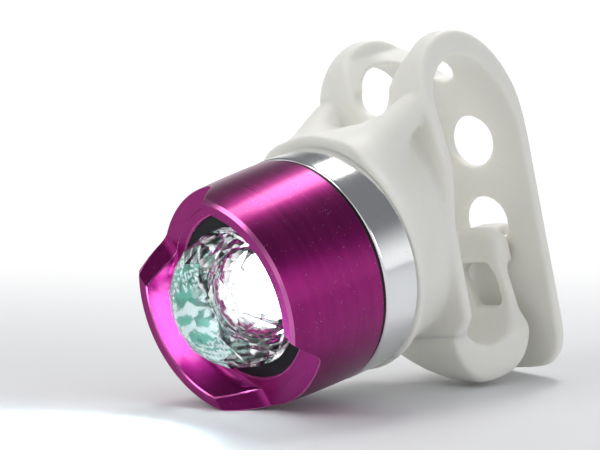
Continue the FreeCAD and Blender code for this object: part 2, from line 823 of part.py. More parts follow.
os.makedirs("parts", exist_ok=True)
for piece in pieces:
    piece.Shape.exportStep("parts/%s.step" % piece.Label)
    print("%-16s solids %d volume %9.2f" % (piece.Label, len(piece.Shape.Solids), piece.Shape.Volume))
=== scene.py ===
# %% [markdown]
# A small round bicycle headlight, lit, lying on a pale table with its silicone
# strap loop behind it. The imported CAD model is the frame: each visible piece is
# placed by its numbers. This first cell loads it and keeps its box.

import json
import math

import bmesh
import bpy
import numpy as np
from mathutils import Matrix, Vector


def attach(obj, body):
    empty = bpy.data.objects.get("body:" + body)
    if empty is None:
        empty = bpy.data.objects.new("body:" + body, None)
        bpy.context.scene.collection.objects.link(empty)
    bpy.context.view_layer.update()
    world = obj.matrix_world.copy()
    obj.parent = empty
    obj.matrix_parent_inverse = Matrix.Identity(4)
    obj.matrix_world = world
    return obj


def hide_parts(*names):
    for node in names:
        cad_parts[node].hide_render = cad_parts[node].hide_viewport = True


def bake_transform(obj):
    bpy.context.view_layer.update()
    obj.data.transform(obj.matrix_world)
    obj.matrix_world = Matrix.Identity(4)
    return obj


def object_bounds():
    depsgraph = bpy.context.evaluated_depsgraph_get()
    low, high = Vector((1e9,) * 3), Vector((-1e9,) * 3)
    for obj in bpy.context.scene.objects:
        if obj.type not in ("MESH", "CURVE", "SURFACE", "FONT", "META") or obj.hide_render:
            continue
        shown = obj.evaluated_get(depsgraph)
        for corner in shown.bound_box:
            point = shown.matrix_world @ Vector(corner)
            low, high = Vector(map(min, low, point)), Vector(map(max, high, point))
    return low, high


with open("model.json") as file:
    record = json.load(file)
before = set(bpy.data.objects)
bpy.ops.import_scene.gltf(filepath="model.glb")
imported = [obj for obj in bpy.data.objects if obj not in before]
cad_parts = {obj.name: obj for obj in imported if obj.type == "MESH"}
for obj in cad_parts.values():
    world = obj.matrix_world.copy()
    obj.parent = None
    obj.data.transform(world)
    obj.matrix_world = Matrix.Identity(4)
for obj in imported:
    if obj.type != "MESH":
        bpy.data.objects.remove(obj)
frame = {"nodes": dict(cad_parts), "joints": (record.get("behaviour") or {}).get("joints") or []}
cad_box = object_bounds()
MM = 0.001
print("CAD box (mm):", [round(v / MM, 1) for v in cad_box[1] - cad_box[0]])

# %% [markdown]
# The lamp lies nose down and rolled on the table, so its shapes are easiest to
# write in its own frame: origin on the axis at the seam behind the bezel, X to
# the side, Y backwards along the axis, Z up. The CAD joints say where that frame
# is: the bezel turns about the lamp's axis, and the strap swings about a line
# that is turned 12 degrees about it.

# %% The lamp's own frame, and the strap loop's
STRAP_TURN = math.radians(12.0)
STRAP_LEAN = math.radians(4.0)
PEDESTAL = 18.0
HINGE = (0.0, 7.5, 25.3)
joints = {joint["name"]: joint for joint in frame["joints"]}


def unit(vector):
    """The vector divided by its length."""
    return np.array(vector, float) / np.linalg.norm(vector)


lamp_y = -unit(joints["bezel_turn"]["axis"])
strap_x = unit(joints["strap_swing"]["axis"])
side = np.cross(lamp_y, strap_x)
lamp_z = unit(math.cos(STRAP_TURN) * -side - math.sin(STRAP_TURN) * strap_x)
lamp_x = np.cross(lamp_y, lamp_z)
LAMP_ORIGIN = np.array(joints["bezel_turn"]["pos_m"])
LAMP_AXES = np.array([lamp_x, lamp_y, lamp_z])


def from_lamp(points):
    """Points in the lamp's frame (mm) to the table's frame (m): origin + x X + y Y + z Z."""
    return LAMP_ORIGIN + MM * (np.asarray(points) @ LAMP_AXES)


def turn(axis, angle):
    """The rotation matrix about X (0), Y (1) or Z (2), for points written as rows."""
    c, s = math.cos(angle), math.sin(angle)
    i, j = (axis + 1) % 3, (axis + 2) % 3
    matrix = np.eye(3)
    matrix[i, i] = matrix[j, j] = c
    matrix[i, j], matrix[j, i] = s, -s
    return matrix


LOOP_AXES = turn(0, -STRAP_LEAN) @ turn(1, STRAP_TURN)


def loop_to_lamp(points):
    """Points in the strap loop's frame to the lamp's frame, both in millimetres."""
    return np.asarray(points) @ LOOP_AXES + np.array([0.0, PEDESTAL, 0.0])


def from_loop(points):
    """Points in the strap loop's frame (mm) to the table's frame (m)."""
    return from_lamp(loop_to_lamp(points))


print("lamp axis down by", round(math.degrees(math.asin(lamp_y[2])), 2), "degrees")
pivot_error = from_loop(HINGE) - np.array(joints["strap_swing"]["pos_m"])
print("the strap's hinge is off by", np.round(pivot_error / MM, 3), "mm")

# %% [markdown]
# The camera stands where the photographer's did. The bezel's rim and the cup's
# edges are circles, and the ellipses that they make in the picture fix the
# distance, the direction and the lens: a long lens, a third of a metre away.
# The camera's place is in the lamp's frame, in millimetres, and so are the two
# directions, to the right and down the picture.

# %% The camera
CAMERA_PLACE = (257.48, -215.45, 5.66)
CAMERA_RIGHT = (0.6005, 0.7077, -0.3722)
CAMERA_DOWN = (-0.2407, -0.2838, -0.9282)
PICTURE_WIDTH = 600
FOCAL_PIXELS = 2602.3
SENSOR = 36.0
NEAREST, FARTHEST = 0.01, 20.0


def put(name, data, axes=np.eye(3), place=(0, 0, 0)):
    """Put an object in the scene, with its X, Y and Z along three unit vectors, at a place in metres."""
    matrix = np.eye(4)
    matrix[:3, :3] = np.array(axes).T
    matrix[:3, 3] = place
    thing = bpy.data.objects.new(name, data)
    bpy.context.collection.objects.link(thing)
    thing.matrix_world = Matrix(matrix.tolist())
    return thing


camera_data = bpy.data.cameras.new("camera")
camera_data.sensor_width = SENSOR
camera_data.lens = FOCAL_PIXELS / PICTURE_WIDTH * SENSOR
camera_data.clip_start = NEAREST
camera_data.clip_end = FARTHEST
right = unit(np.array(CAMERA_RIGHT) @ LAMP_AXES)
up = -(np.array(CAMERA_DOWN) @ LAMP_AXES)
up = unit(up - right * (up @ right))
back = np.cross(right, up)
bpy.context.scene.camera = put("camera", camera_data, [right, up, back], from_lamp(CAMERA_PLACE))
print("camera looks down by", round(math.degrees(math.asin(back[2])), 1), "degrees")

# %% [markdown]
# Every new piece is worked out as one numpy array of points and one of faces.
# A turned solid is a closed profile carried round the axis. Which way its faces
# look follows from the sign of the volume that they enclose, so a piece never
# comes out inside out, whichever way its profile was drawn.

# %% From arrays to pieces
ROUND_COLUMNS = 240


def grid_faces(rows, columns, closed=True):
    """Quads of a grid numbered row by row; its columns go round, and so do its rows where closed."""
    row = np.arange(rows if closed else rows - 1)[:, None]
    column = np.arange(columns)[None, :]
    below, beside = (row + 1) % rows, (column + 1) % columns
    corners = [row * columns + column, row * columns + beside, below * columns + beside,
               below * columns + column]
    return np.stack(np.broadcast_arrays(*corners), axis=-1).reshape(-1, 4)


def facing_out(points, faces):
    """Turn the faces over if the volume inside them, a sum of a . (b x c) over them, is negative."""
    a, b, c, d = (points[faces[:, k]] for k in (0, 1, 2, -1))
    volume = np.einsum("ij,ij->", a, np.cross(b, c) + np.cross(c, d))
    return faces if volume > 0 else faces[:, ::-1]


def shade(mesh, sharp):
    """Smooth shading, with hard edges where faces meet at more than sharp degrees."""
    mesh.polygons.foreach_set("use_smooth", np.ones(len(mesh.polygons), dtype=bool))
    mesh.set_sharp_from_angle(angle=math.radians(sharp))


def make_mesh(name, points, faces, sharp=30.0):
    """A shaded mesh from arrays, in metres."""
    points = points.reshape(-1, 3)
    mesh = bpy.data.meshes.new(name)
    mesh.from_pydata(points.tolist(), [], facing_out(points, faces).tolist())
    shade(mesh, sharp)
    mesh.update()
    return mesh


def add_piece(mesh, material, body, slot, *nodes):
    """Put a mesh in the scene: its finish, the CAD body it rides on, and the nodes it stands for."""
    mesh.materials.append(material)
    piece = put(mesh.name, mesh)
    if body:
        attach(piece, body)
    if nodes:
        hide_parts(*nodes)
    print(piece.name, "has", len(mesh.polygons), "faces")
    return piece


def round_axis(r, y, angle):
    """Points round the lamp's axis: (r sin a, y, r cos a)."""
    return np.stack(np.broadcast_arrays(r * np.sin(angle), y, r * np.cos(angle)), axis=-1)


def carried_round(profile, columns=ROUND_COLUMNS):
    """A turned surface: each point (r, y) of the profile at every column's angle."""
    r, y = np.array(profile, float).T[:, :, None]
    return round_axis(r, y, np.linspace(0, 2 * math.pi, columns, endpoint=False))


def arc(centre, radius, start, end, steps=8):
    """Points of an arc in a plane: centre + radius (cos a, sin a), from start to end in degrees."""
    angle = np.radians(np.linspace(start, end, steps))
    return np.array(centre) + radius * np.stack([np.cos(angle), np.sin(angle)], axis=-1)


def parabola(start, corner, end, steps=7):
    """Points of the parabola from start to end whose tangents there meet in the corner."""
    t = np.linspace(0, 1, steps)[:, None]
    return (1 - t) ** 2 * np.array(start) + 2 * t * (1 - t) * np.array(corner) + t ** 2 * np.array(end)


# %% [markdown]
# A finish is a graph of shader nodes. Written as Python expressions it reads as
# maths: one small class wraps a socket, its operators add Math nodes, and its
# one method plug() adds any other node, settings first. Only what changes over
# a surface is a graph; the rest is set on the shader's own sockets.

# %% Shader maths as expressions


class Wire:
    """One output socket of a node tree, or the tree alone."""

    def __init__(self, tree, socket=None):
        self.tree = tree
        self.socket = socket

    def plug(self, kind, settings=None, inputs=None, take=0):
        """Add a node: its type, its settings, its inputs by name or number, and the output to take."""
        node = self.tree.nodes.new("ShaderNode" + kind)
        for name, value in (settings or {}).items():
            setattr(node, name, value)
        for name, value in (inputs or {}).items():
            self.feed(node.inputs[name], value)
        return Wire(self.tree, node.outputs[take])

    def feed(self, socket, value):
        """Set a socket to a plain value, a colour with full alpha, or link a wire to it."""
        if isinstance(value, Wire):
            self.tree.links.new(value.socket, socket)
        else:
            socket.default_value = (*value, 1.0) if socket.type == "RGBA" else value

    def maths(self, operation, first, second):
        """A Math node on two values."""
        return self.plug("Math", {"operation": operation}, {0: first, 1: second})

    def __add__(self, other):
        return self.maths("ADD", self, other)

    def __sub__(self, other):
        return self.maths("SUBTRACT", self, other)

    def __rsub__(self, other):
        return self.maths("SUBTRACT", other, self)

    def __mul__(self, other):
        return self.maths("MULTIPLY", self, other)

    def __pow__(self, other):
        return self.maths("POWER", self, other)

    __radd__ = __add__
    __rmul__ = __mul__

    def parts(self):
        """The three numbers of a vector."""
        return [self.plug("SeparateXYZ", {}, {0: self}, take) for take in range(3)]

    def step(self, low, high):
        """Nought below low, one above high, and a smooth climb between."""
        ends = {"From Min": low, "From Max": high}
        return self.plug("MapRange", {"interpolation_type": "SMOOTHSTEP"}, {"Value": self, **ends})

    def between(self, low, high):
        """Nought becomes low and one becomes high, in a straight line."""
        return self * (high - low) + low

    def mix(self, first, second):
        """The first colour where this value is nought, the second where it is one."""
        return self.plug("Mix", {"data_type": "RGBA"}, {0: self, 6: first, 7: second}, 2)


print("a shader expression such as 1 - mask * 0.5 adds its own nodes")

# %% [markdown]
# The lamp's tool marks, dust and moulding ripples follow the lamp, not the table,
# so each finish starts from Object coordinates that a Mapping node turns into the
# lamp's frame, in millimetres. Noise at a size in millimetres then gives cloudiness,
# specks and grain at the scale that the real thing has.

# %% The start of every finish
LAMP_TURN = Matrix(LAMP_AXES.tolist()).to_euler("XYZ")
LAMP_SHIFT = -LAMP_AXES @ LAMP_ORIGIN / MM
SPECK_SHARE = 0.34


def make_finish(name, recipe, *values):
    """A material whose shader sockets, named with underlines for spaces, a recipe fills in."""
    material = bpy.data.materials.new(name)
    material.use_nodes = True
    here = Wire(material.node_tree).plug("TexCoord", take="Object")
    mapped = {"Vector": here, "Location": LAMP_SHIFT, "Rotation": LAMP_TURN, "Scale": [1 / MM] * 3}
    place = here.plug("Mapping", {}, mapped)
    shader = material.node_tree.nodes["Principled BSDF"]
    for socket, value in recipe(place, *values).items():
        place.feed(shader.inputs[socket.replace("_", " ")], value)
    print("finish", name, "has", len(material.node_tree.nodes), "nodes")
    return material


def noise(place, size, detail=2.0):
    """Soft random values about one half, that change over about size millimetres."""
    return place.plug("TexNoise", {}, {"Vector": place, "Scale": 1 / size, "Detail": detail})


def stretched(place, scale, detail):
    """Noise drawn out into streaks: a scale for each axis, large across a streak and small along it."""
    return noise(place.plug("Mapping", {}, {"Vector": place, "Scale": scale}), 1.0, detail)


def bump(height, depth):
    """A bent normal: a height of one stands depth millimetres proud."""
    return height.plug("Bump", {}, {"Height": height, "Distance": depth * MM, "Strength": 1.0})


def from_axis(place):
    """The distance from the lamp's axis, |(x, z)|."""
    x, _, z = place.parts()
    return (x * x + z * z) ** 0.5


def tool_marks(place, pitch):
    """Fine turned lines: noise that changes over the pitch along the axis and outwards, slowly round it."""
    x, y, z = place.parts()
    steps = {0: y * (1 / pitch), 1: from_axis(place) * (1 / pitch), 2: x * 0.15 + z * 0.1}
    return noise(place.plug("CombineXYZ", {}, steps), 1.0, 3.0)


def specks(place, size):
    """Sparse dust: one inside a few small cells of a Voronoi pattern, nought elsewhere."""
    cells = place.plug("TexVoronoi", {}, {"Vector": place, "Scale": 1 / size}, "Distance")
    lit = noise(place, size * 3.1, 0.0).step(1 - SPECK_SHARE, 1 - SPECK_SHARE * 0.9)
    return (1 - cells.step(0.08, 0.2)) * lit


# %% [markdown]
# The bezel is aluminium, turned, then dyed magenta in its anodic layer. The dye
# sits under a clear oxide, so the metal keeps a coloured highlight with a paler
# glint from the skin, which a metallic shader with a thin coat gives. Milled edges
# get a painted highlight, a paler pink as if they caught light: the mesh carries
# an "edge" value.

# %% Metal finishes
DYE = (0.23, 0.006, 0.125), (0.32, 0.010, 0.175)
DYE_BAND = (0.40, 0.016, 0.215)
PAINTED_EDGE_HIGHLIGHT = (0.80, 0.20, 0.55)
METAL_DUST = (0.75, 0.7, 0.7)
ALUMINIUM = (0.80, 0.81, 0.82), (0.90, 0.91, 0.92)
SCRATCH = (0.55, 0.56, 0.58)


def anodised_recipe(place):
    """Dyed aluminium: turned lines, faint clouds in the dye, painted edge highlights and a few specks of
    dust.
    """
    lines = tool_marks(place, 0.11)
    bands = tool_marks(place, 0.7)
    clouds = noise(place, 7.0, 3.0)
    edge = place.plug("Attribute", {"attribute_name": "edge"}, take="Fac")
    dye = (bands.step(0.35, 0.75) * 0.35).mix(clouds.mix(*DYE), DYE_BAND)
    # painted highlight: the chamfers' dye is lightened towards pale pink, as if they caught light
    dye = (edge * 0.75).mix(dye, PAINTED_EDGE_HIGHLIGHT)
    dust = specks(place, 0.24)
    dye = (dust * 0.6).mix(dye, METAL_DUST)
    return dict(
        Base_Color=dye, Metallic=1.0 - dust * 0.8,
        Roughness=lines.between(0.20, 0.36) + bands * 0.06 - edge * 0.1,
        Coat_Weight=0.3, Coat_Roughness=0.14, Normal=bump(lines + bands * 0.5, 0.016))


def polished_recipe(place):
    """Polished aluminium: mirror bright, with a haze of fine turned lines and a few scratches."""
    lines = tool_marks(place, 0.08)
    clouds = noise(place, 5.0, 3.0)
    scratches = stretched(place, (6.0, 0.5, 0.9), 5.0)
    metal = (scratches.step(0.68, 0.72) * 0.3).mix(clouds.mix(*ALUMINIUM), SCRATCH)
    return dict(
        Base_Color=metal, Metallic=1.0, Normal=bump(lines, 0.004),
        Roughness=lines.between(0.07, 0.17) + clouds * 0.05)


def steel_recipe(place, tint, roughness):
    """Bright plated or rolled steel, with brushed grain and dull patches."""
    grain = stretched(place, (9.0, 9.0, 0.8), 3.0)
    patches = noise(place, 2.2, 4.0)
    metal = patches.mix(tint, [value * 0.82 for value in tint])
    return dict(
        Base_Color=metal, Metallic=1.0,
        Roughness=grain.between(roughness, roughness + 0.14) + patches * 0.05, Normal=bump(grain, 0.006))


anodised = make_finish("anodised_magenta", anodised_recipe)
polished = make_finish("polished_aluminium", polished_recipe)
plated = make_finish("nickel_plate", steel_recipe, (0.74, 0.71, 0.66), 0.18)
cell_steel = make_finish("cell_steel", steel_recipe, (0.70, 0.71, 0.72), 0.26)
screw_steel = make_finish("screw_steel", steel_recipe, (0.58, 0.58, 0.60), 0.24)

# %% [markdown]
# The strap is one moulding of natural silicone rubber: milky, soft to the eye and
# faintly warm where it is thick, because light goes in, scatters and comes out a
# little way off. That is subsurface scattering, here over half a millimetre: a
# longer way would show the cut between the strap and the hook as a dark line. Its
# skin is satin, with the mould's very fine grain and clinging dust.

# %% Rubber and silicone finishes
MILK = (0.87, 0.86, 0.795), (0.94, 0.93, 0.87)
LINT = (0.55, 0.53, 0.50)
SCATTER = 0.5 * MM
BLACK = (0.004, 0.005, 0.006)
BLOOM = (0.020, 0.023, 0.025)


def silicone_recipe(place):
    """Milky silicone: warm clouds, a satin skin that varies, fine mould grain, and dust."""
    clouds = noise(place, 8.0, 3.0)
    dust = specks(place, 0.4)
    milk = (dust * 0.5).mix(clouds.mix(*MILK), LINT)
    grain = noise(place, 0.22, 3.0)
    swell = noise(place, 3.5, 2.0)
    return dict(
        Base_Color=milk, Roughness=grain.between(0.36, 0.50) + swell * 0.08,
        Subsurface_Weight=0.85, Subsurface_Radius=(1.0, 0.92, 0.80), Subsurface_Scale=SCATTER,
        Specular_IOR_Level=0.42, IOR=1.41, Normal=bump(grain * 0.3 + swell, 0.05))


def rubber_recipe(place):
    """Black moulded rubber: nearly black, dull, with fine pores and a trace of grey bloom."""
    pores = noise(place, 0.12, 3.0)
    bloom = noise(place, 1.6, 3.0)
    return dict(
        Base_Color=(bloom.step(0.5, 0.8) * 0.4).mix(BLACK, BLOOM),
        Roughness=pores.between(0.34, 0.58) + bloom * 0.1, Specular_IOR_Level=0.25,
        Normal=bump(pores, 0.012))


silicone = make_finish("milky_silicone", silicone_recipe)
rubber = make_finish("black_rubber", rubber_recipe)

# %% [markdown]
# The lens is clear acrylic. Its facets do the work, so its finish is plain glass
# with the faintest waviness. Behind it the LED is a white ceramic package with a
# domed emitter, on a green board with tinned pads. They are bright enough to wash
# out in the picture, as they do in the photograph. The board glows where the LED
# floods it, in a mosaic of green, white and dark for its pads and parts.

# %% Lens, LED and board finishes
ACRYLIC = (0.965, 0.985, 0.99)
TRACKS = {"Color1": (0.030, 0.240, 0.160), "Color2": (0.020, 0.190, 0.130),
          "Mortar": (0.055, 0.330, 0.215), "Mortar Size": 0.06, "Scale": 1.0}
RESIST = (0.012, 0.140, 0.095)
TIN = (0.70, 0.70, 0.68)
FLOODED_GREEN = (0.015, 0.13, 0.095), (0.06, 0.27, 0.21)
FLOODED_WHITE = (0.64, 0.67, 0.72)
FLOODED_DARK = (0.03, 0.04, 0.05)
FADED_PAINTED_GLOW = (0.04, 0.12, 0.10)


def clear_recipe(place):
    """Clear acrylic, with a trace of flow waviness and hairline wear."""
    flow = noise(place, 2.4, 2.0)
    hairs = stretched(place, (0.6, 5.0, 7.0), 5.0)
    return dict(
        Base_Color=ACRYLIC, Roughness=hairs.step(0.66, 0.74) * 0.06 + flow * 0.07,
        Transmission_Weight=1.0, IOR=1.49, Normal=bump(flow + hairs * 0.1, 0.03))


def glowing_recipe(place, hot, cool, reach, strength):
    """A lit surface: brightest on the lamp's axis, falling off to a cooler colour by reach millimetres."""
    grain = noise(place, 0.4, 3.0)
    fade = (from_axis(place) + grain * 0.6).step(reach * 0.35, reach)
    return dict(
        Base_Color=fade.mix((0.85, 0.85, 0.70), (0.8, 0.82, 0.8)),
        Roughness=grain.between(0.35, 0.55), Emission_Color=fade.mix(hot, cool),
        Emission_Strength=strength, Normal=bump(grain, 0.02))


def board_recipe(place):
    """Green resist over copper tracks, with glass weave, tinned pads and the LED's light spilt on it as a
    painted glow.
    """
    cells = place.plug("Mapping", {}, {"Vector": place, "Scale": (0.55, 0.0, 0.55)})
    tracks = cells.plug("TexBrick", {}, {"Vector": cells, **TRACKS})
    weave = noise(place, 0.3, 2.0)
    resist = (weave * 0.4).mix(tracks, RESIST)
    pads = cells.plug("TexVoronoi", {}, {"Vector": cells, "Scale": 0.9}, "Distance")
    tin = 1 - pads.step(0.10, 0.13)
    parts = cells.plug("TexVoronoi", {}, {"Vector": cells, "Scale": 4.2}, "Color").parts()
    # painted light: the board is no lamp, yet this emission stands for the LED's light flooding it
    spill = parts[0].step(0.35, 0.5).mix(*FLOODED_GREEN)
    spill = parts[1].step(0.42, 0.50).mix(spill, FLOODED_WHITE)
    spill = parts[2].step(0.76, 0.80).mix(spill, FLOODED_DARK)
    # painted light falling off: the glow dims to a darker green away from the lamp's axis
    spill = from_axis(place).step(6.0, 13.0).mix(spill, FADED_PAINTED_GLOW)
    return dict(
        Base_Color=(tin * 0.9).mix(resist, TIN), Metallic=tin * 0.9,
        Roughness=weave.between(0.22, 0.36), Normal=bump(weave * 0.3 + tin, 0.03),
        Emission_Color=spill, Emission_Strength=1.1)


clear = make_finish("clear_acrylic", clear_recipe)
emitter = make_finish("lit_emitter", glowing_recipe, (1.0, 1.0, 0.98), (0.75, 0.92, 1.0), 1.6, 14.0)
halo = make_finish("lit_recess", glowing_recipe, (0.98, 1.0, 1.0), (0.80, 0.96, 0.95), 5.2, 12.0)
board = make_finish("circuit_board", board_recipe)

# %% [markdown]
# The rest is inside: moulded plastic, ceramic chips and the battery holder. They
# show only when the lamp is opened, yet each gets its own finish, because the CAD
# solids below keep their shapes and take these materials as they are.

# %% Finishes of the inner pieces


def plastic_recipe(place, dark, light, roughness):
    """Moulded plastic: two near shades in soft clouds, spark-eroded grain, and a satin skin."""
    clouds = noise(place, 2.5, 3.0)
    grain = noise(place, 0.15, 3.0)
    return dict(
        Base_Color=clouds.mix(dark, light),
        Roughness=grain.between(roughness - 0.08, roughness + 0.08), Normal=bump(grain, 0.01))


JET = (0.012, 0.012, 0.013), (0.030, 0.030, 0.032)
IVORY = (0.72, 0.72, 0.69), (0.80, 0.80, 0.77)
TAN = (0.50, 0.40, 0.27), (0.62, 0.52, 0.38)
GLAZE = (0.02, 0.02, 0.025), (0.06, 0.06, 0.07)
black_plastic = make_finish("black_plastic", plastic_recipe, *JET, 0.45)
white_plastic = make_finish("white_plastic", plastic_recipe, *IVORY, 0.42)
ceramic = make_finish("ceramic", plastic_recipe, *TAN, 0.5)
resistor_black = make_finish("resistor_glaze", plastic_recipe, *GLAZE, 0.3)

NODE_FINISHES = [
    (rubber, "o_ring lens_seal"), (board, "led_board"), (emitter, "led_package led_dome"),
    (black_plastic, "switch_body control_chip"), (resistor_black, "board_resistors"),
    (ceramic, "board_capacitor"), (white_plastic, "switch_plunger battery_holder"),
    (plated, "spring_contact cup_contact anchor_plate"), (cell_steel, "cell_front cell_rear"),
    (screw_steel, "clamp_screw")]
for finish, names in NODE_FINISHES:
    for name in names.split():
        node = frame["nodes"][name]
        node.data.materials.clear()
        node.data.materials.append(finish)
    print("CAD nodes in", finish.name + ":", names)

# %% [markdown]
# The rear cup is a short polished ring with a threaded spigot inside the bezel. It
# is turned, so its profile goes round the axis. The CAD solid has the same sizes;
# this piece only adds enough columns for mirror-smooth reflections, and rounds the
# broken edges, which catch a bright line.

# %% The polished rear cup
CUP_RADIUS = 15.1
CUP_BACK = 6.25
SHOULDER = 0.45
EDGE = 0.35
SPIGOT = 12.6
SPIGOT_FRONT = -5.0
BORE = 11.0
FLOOR = 4.65
SCREW_HOLE = 1.33
SCREW_HEAD = 2.48


def cup_profile():
    """The cup's closed profile (r, y): spigot, shoulder, rounded outer edges, back, hole and bore."""
    front_edge = arc((CUP_RADIUS - EDGE, SHOULDER + EDGE), EDGE, -90, 0)
    back_edge = arc((CUP_RADIUS - EDGE, CUP_BACK - EDGE), EDGE, 0, 90)
    wall = np.linspace((CUP_RADIUS, SHOULDER + EDGE), (CUP_RADIUS, CUP_BACK - EDGE), 8)[1:-1]
    spigot = [(BORE, SPIGOT_FRONT), (SPIGOT - EDGE, SPIGOT_FRONT), (SPIGOT, SPIGOT_FRONT + EDGE),
              (SPIGOT, SHOULDER)]
    inside = [(SCREW_HOLE, CUP_BACK), (SCREW_HOLE, FLOOR + SCREW_HEAD - SCREW_HOLE), (SCREW_HEAD, FLOOR),
              (BORE, FLOOR)]
    return np.vstack([spigot, front_edge, wall, back_edge, inside])


profile = cup_profile()
cup_faces = grid_faces(len(profile), ROUND_COLUMNS)
cup_mesh = make_mesh("polished_cup", from_lamp(carried_round(profile)), cup_faces)
add_piece(cup_mesh, polished, "head", "polished", "rear_cup")

# %% [markdown]
# The bezel is a turned ring, milled straight across its front with a tapering
# cutter, which leaves two opposite lobes. A plain turned grid would cut the milled
# edges into steps. So the grid's columns are laid where the cutter went: inside the
# cut each column is a line of constant x, the way across, and on the lobes the
# columns fan out evenly. The height of the wall's top is then a function of x alone.

# %% The cut across the bezel
NOTCH_TURN = math.radians(16.0)
BOWL_FLOOR = -10.35
LOBE_HEIGHT = 5.05
REACH = 9.6
CUT_POINTS = [(5.6, 0.0), (7.25, 0.99), (9.25, LOBE_HEIGHT), (REACH, LOBE_HEIGHT)]
CUT_CORNER = (6.75, 0.0)
STEP = 0.07


def cut_curve():
    """The cut's side (x, height above the bowl's floor): flat, a round corner, a slope, and the rim."""
    start, wall, top, end = CUT_POINTS
    level = np.linspace((0, 0), start, 12)[:-1]
    return np.vstack([level, parabola(start, CUT_CORNER, wall, 9), np.linspace(wall, top, 12)[1:], [end]])


half_cut = cut_curve()
across = np.concatenate([-half_cut[:0:-1, 0], half_cut[:, 0]])
wall_height = np.maximum(np.interp(np.abs(across), *half_cut.T), STEP)
print("columns in one cut:", len(across))

# %% [markdown]
# Each row of the grid is one point of the bezel's section, moved to the height that
# the wall has at that column: up the barrelled outside, over a chamfer and the flat
# rim, down the coved inside of the bowl to its floor, through the lip and back along
# the bores. An "edge" value marks the chamfers for the finish.

# %% The anodised bezel
LOBE_COLUMNS = 72
OUTSIDE = 15.0
BARREL_LENGTH = 14.95
BARREL_BULGE = 0.165
TAPER = 0.75
SEAM_RADIUS, SEAM_CHAMFER = 14.80, 0.12
BOWL, LIP, SEAT, THREAD = 12.25, 10.8, 11.6, 12.68
LIP_BACK = -9.3
THREAD_FRONT = -5.2

lobe_height = np.full(LOBE_COLUMNS, LOBE_HEIGHT)
height = np.concatenate([wall_height, lobe_height, wall_height[::-1], lobe_height])


def ring_angles(radius):
    """Each column's angle on one row: asin(x / r) in the cuts, evenly fanned out on the lobes."""
    part = np.linspace(0, 1, LOBE_COLUMNS + 2)[1:-1]
    angles = []
    for half_turn, half in zip((0, math.pi), np.split(radius, 2)):
        cut, lobe = np.split(half, [len(across)])
        limit = np.arcsin(REACH / lobe)
        angles += [half_turn + np.arcsin(across / cut), half_turn + limit + part * (math.pi - 2 * limit)]
    return np.concatenate(angles)


def outer_radius(y):
    """The outside: a taper over the barrel's length, bowed out by a shallow parabola."""
    t = -y / BARREL_LENGTH
    return OUTSIDE - TAPER * t + BARREL_BULGE * 4 * t * (1 - t)


def bezel_rows():
    """The section as rows of (radius, station, edge value), each an array over the columns."""
    share = np.clip(height / LOBE_HEIGHT, 0, 1)
    chamfer = 0.10 + 0.30 * share ** 3
    inner = np.minimum(0.16, height * 0.5)
    cove = np.minimum(1.6, height * 0.45)
    top, foot = BOWL_FLOOR - height, BOWL_FLOOR - cove
    shoulder = top + chamfer
    outside = outer_radius(shoulder)
    bore = BOWL + 0.25 * share
    flat = np.ones_like(height)
    side = np.linspace(-SEAM_CHAMFER * flat, shoulder, 30)
    angle = np.radians(np.linspace(15, 90, 6))[:, None]
    stretches = [
        (1.0, [(SEAM_RADIUS, 0.0)]),
        (0.0, zip(outer_radius(side), side)),
        (1.0, [(outside, shoulder), (outside - chamfer, top)]),
        (0.0, np.linspace((outside - chamfer, top), (bore + inner, top), 7)),
        (0.8, [(bore + inner, top), (bore, top + inner)]),
        (0.0, np.linspace((bore, top + inner), (BOWL * flat, foot), 6)),
        (0.0, zip(BOWL - cove * (1 - np.cos(angle)), foot + cove * np.sin(angle))),
        (0.0, [(LIP + 0.4, BOWL_FLOOR)]),
        (0.6, [(LIP + 0.15, BOWL_FLOOR), (LIP, BOWL_FLOOR + 0.15)]),
        (0.0, [(LIP, LIP_BACK), (SEAT, LIP_BACK), (SEAT, THREAD_FRONT)]),
        (0.0, [(THREAD, THREAD_FRONT), (THREAD, 0.0)])]
    return [(radius * flat, y * flat, edge) for edge, points in stretches for radius, y in points]


def make_bezel():
    """Carry the rows round the axis, and turn them back about it by the cut's angle."""
    rows = bezel_rows()
    points = np.stack([round_axis(radius, y, ring_angles(radius)) for radius, y, _ in rows])
    points = points @ turn(1, -NOTCH_TURN)
    mesh = make_mesh("anodised_bezel", from_lamp(points), grid_faces(len(rows), len(height)), sharp=24)
    edge = np.repeat([row[2] for row in rows], len(height))
    mesh.attributes.new("edge", "FLOAT", "POINT").data.foreach_set("value", edge.astype(np.float32))
    return mesh


add_piece(make_bezel(), anodised, "bezel", "anodised", "bezel")

# %% [markdown]
# The lens is a clear dome cut like a gem: three rows of flat triangles round its
# side, and a smooth polished crown. The rings of corners lie on an ellipsoid, each
# turned by half a facet from the last. The row that meets the crown, and the one
# that meets the barrel, are split finely along their shared edges, so that the
# whole lens is one closed skin and light bends through it as through a real one.

# %% The faceted lens
FACETS = 14
SPLIT = 6
LENS_RADIUS = 8.97
BARREL_FRONT = -11.75
DOME = 7.5
RECESS = 4.55
LENS_BACK = -7.22
LENS_SIDE = [(RECESS, LENS_BACK), (11.3, LENS_BACK), (11.45, -7.35), (11.45, -8.3), (11.3, -8.42),
             (9.0, -8.42), (9.0, -11.5)]
LATITUDES = np.radians([0.0, 24.0, 44.0, 61.0])


def on_dome(latitude, corner, row):
    """Points of the ellipsoid: radius r cos l, station front - dome sin l, half a facet on in odd rows."""
    angle = 2 * math.pi * (corner + 0.5 * (row % 2)) / FACETS
    return round_axis(LENS_RADIUS * np.cos(latitude), BARREL_FRONT - DOME * np.sin(latitude), angle)


def split_ring(corners):
    """Each edge of a ring cut into equal lengths: corner + (next - corner) k / SPLIT."""
    share = (np.arange(SPLIT) / SPLIT)[None, :, None]
    return (corners[:, None] + (np.roll(corners, -1, axis=0) - corners)[:, None] * share).reshape(-1, 3)


